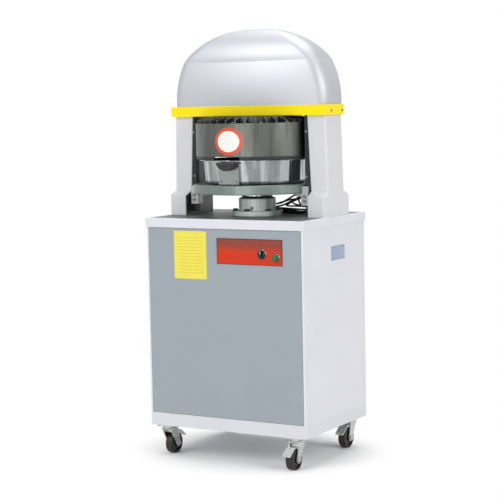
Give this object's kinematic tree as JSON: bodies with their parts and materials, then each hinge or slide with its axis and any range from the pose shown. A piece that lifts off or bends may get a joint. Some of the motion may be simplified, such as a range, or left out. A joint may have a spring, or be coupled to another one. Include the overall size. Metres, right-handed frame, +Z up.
{
  "type": "dough divider",
  "caption": "Hydraulic dough divider on casters: cabinet, columns and domed hood around a knife drum, with a dough pan on a ram-lifted platen.",
  "frame": {"origin": "floor level, middle of the footprint", "axes": "+Z up, the front with its controls towards -Y, +X to the right seen from the front"},
  "size_m": [0.548, 0.478, 1.294],
  "materials": {
    "white_paint": "satin white enamel",
    "grey_paint": "smooth grey enamel",
    "frame_paint": "dark green enamel",
    "hood_silver": "silver paint, soft gloss",
    "yellow_paint": "yellow enamel",
    "table_steel": "ground steel plate",
    "drum_steel": "turned steel",
    "polished_steel": "mirror polished steel",
    "blade_steel": "ground steel",
    "platen_iron": "machined casting, grey-beige paint",
    "rail_steel": "bright steel",
    "motor_paint": "blue-grey enamel",
    "tank_paint": "grey enamel",
    "hose_rubber": "black rubber",
    "cord_rubber": "black rubber",
    "red_plate": "red enamel",
    "green_button": "green plastic",
    "black_plastic": "black plastic",
    "zinc_steel": "zinc plated",
    "wheel_rubber": "dark red-brown"
  },
  "bodies": {
    "frame": {"base_tray": "white_paint", "cabinet_shell": "white_paint", "table_tray": "white_paint", "columns": "white_paint", "front_panel": "grey_paint", "control_box": "grey_paint", "inner_frame": "frame_paint", "tie_bars": "frame_paint", "crosshead": "frame_paint", "press_cylinder": "frame_paint", "drum_collar": "frame_paint", "hood": "hood_silver", "bumper": "yellow_paint", "table_plate": "table_steel", "drum": "drum_steel", "drum_cover": "drum_steel", "drum_ribs": "drum_steel", "ram_housing": "platen_iron", "ram_barrel": "platen_iron", "guide_rails": "rail_steel", "housing_bolts": "rail_steel", "motor": "motor_paint", "bell_housing": "motor_paint", "pump": "motor_paint", "oil_tank": "tank_paint", "valve_block": "tank_paint", "oil_hoses": "hose_rubber", "cord_lead": "cord_rubber", "cord_hank": "cord_rubber", "plug": "cord_rubber", "cord_gland": "cord_rubber", "control_plate": "red_plate", "caster_plates": "zinc_steel"},
    "ram": {"ram": "polished_steel", "platen": "platen_iron", "guide_shoes": "platen_iron"},
    "pan": {"dough_pan": "polished_steel", "pan_grip": "black_plastic", "grip_plate": "blade_steel"},
    "press_head": {"press_rod": "polished_steel", "press_carrier": "blade_steel", "presser_plates": "blade_steel"},
    "knives": {"knife_rings": "blade_steel", "knife_blades": "blade_steel", "knife_spider": "blade_steel"},
    "drive": {"drive_coupling": "motor_paint"},
    "button": {"start_button": "green_button"},
    "selector": {"selector_knob": "black_plastic"},
    "swivel_front_left": {"caster_fork_front_left": "zinc_steel"},
    "wheel_front_left": {"caster_wheel_front_left": "wheel_rubber"},
    "brake_front_left": {"caster_brake_front_left": "black_plastic"},
    "swivel_front_right": {"caster_fork_front_right": "zinc_steel"},
    "wheel_front_right": {"caster_wheel_front_right": "wheel_rubber"},
    "brake_front_right": {"caster_brake_front_right": "black_plastic"},
    "swivel_rear_left": {"caster_fork_rear_left": "zinc_steel"},
    "wheel_rear_left": {"caster_wheel_rear_left": "wheel_rubber"},
    "brake_rear_left": {"caster_brake_rear_left": "black_plastic"},
    "swivel_rear_right": {"caster_fork_rear_right": "zinc_steel"},
    "wheel_rear_right": {"caster_wheel_rear_right": "wheel_rubber"},
    "brake_rear_right": {"caster_brake_rear_right": "black_plastic"}
  },
  "joints": [
    {"name": "ram_lift", "type": "slide", "parent": "frame", "child": "ram", "axis": [0, 0, 1], "range_m": [0, 0.0105]},
    {"name": "pan_draw", "type": "slide", "parent": "ram", "child": "pan", "axis": [0, 1, 0], "range_m": [-0.15, 0]},
    {"name": "press_drop", "type": "slide", "parent": "frame", "child": "press_head", "axis": [0, 0, -1], "range_m": [0, 0.06]},
    {"name": "knife_cut", "type": "slide", "parent": "press_head", "child": "knives", "axis": [0, 0, -1], "range_m": [0, 0.03]},
    {"name": "pump_turn", "type": "hinge", "parent": "frame", "child": "drive", "pos_m": [-0.15, -0.048, 0.299], "axis": [0, 0, 1], "continuous": true},
    {"name": "start_press", "type": "slide", "parent": "frame", "child": "button", "axis": [0, 1, 0], "range_m": [0, 0.004], "stiffness_N_per_m": 600, "springref_m": -0.002},
    {"name": "selector_turn", "type": "hinge", "parent": "frame", "child": "selector", "pos_m": [0.133, -0.205, 0.6315], "axis": [0, 1, 0], "range_deg": [-45, 45]},
    {"name": "swivel_front_left", "type": "hinge", "parent": "frame", "child": "swivel_front_left", "pos_m": [-0.224, -0.169, 0.09], "axis": [0, 0, 1], "continuous": true},
    {"name": "roll_front_left", "type": "hinge", "parent": "swivel_front_left", "child": "wheel_front_left", "pos_m": [-0.224, -0.145, 0.032], "axis": [-1, 0, 0], "continuous": true},
    {"name": "brake_front_left", "type": "hinge", "parent": "swivel_front_left", "child": "brake_front_left", "pos_m": [-0.224, -0.159, 0.072], "axis": [-1, 0, 0], "range_deg": [0, 5]},
    {"name": "swivel_front_right", "type": "hinge", "parent": "frame", "child": "swivel_front_right", "pos_m": [0.224, -0.169, 0.09], "axis": [0, 0, 1], "continuous": true},
    {"name": "roll_front_right", "type": "hinge", "parent": "swivel_front_right", "child": "wheel_front_right", "pos_m": [0.224, -0.193, 0.032], "axis": [1, 0, 0], "continuous": true},
    {"name": "brake_front_right", "type": "hinge", "parent": "swivel_front_right", "child": "brake_front_right", "pos_m": [0.224, -0.179, 0.072], "axis": [1, 0, 0], "range_deg": [0, 5]},
    {"name": "swivel_rear_left", "type": "hinge", "parent": "frame", "child": "swivel_rear_left", "pos_m": [-0.224, 0.169, 0.09], "axis": [0, 0, 1], "continuous": true},
    {"name": "roll_rear_left", "type": "hinge", "parent": "swivel_rear_left", "child": "wheel_rear_left", "pos_m": [-0.224, 0.193, 0.032], "axis": [-1, 0, 0], "continuous": true},
    {"name": "brake_rear_left", "type": "hinge", "parent": "swivel_rear_left", "child": "brake_rear_left", "pos_m": [-0.224, 0.179, 0.072], "axis": [-1, 0, 0], "range_deg": [0, 5]},
    {"name": "swivel_rear_right", "type": "hinge", "parent": "frame", "child": "swivel_rear_right", "pos_m": [0.224, 0.169, 0.09], "axis": [0, 0, 1], "continuous": true},
    {"name": "roll_rear_right", "type": "hinge", "parent": "swivel_rear_right", "child": "wheel_rear_right", "pos_m": [0.224, 0.145, 0.032], "axis": [1, 0, 0], "continuous": true},
    {"name": "brake_rear_right", "type": "hinge", "parent": "swivel_rear_right", "child": "brake_rear_right", "pos_m": [0.224, 0.159, 0.072], "axis": [1, 0, 0], "range_deg": [0, 5]}
  ]
}
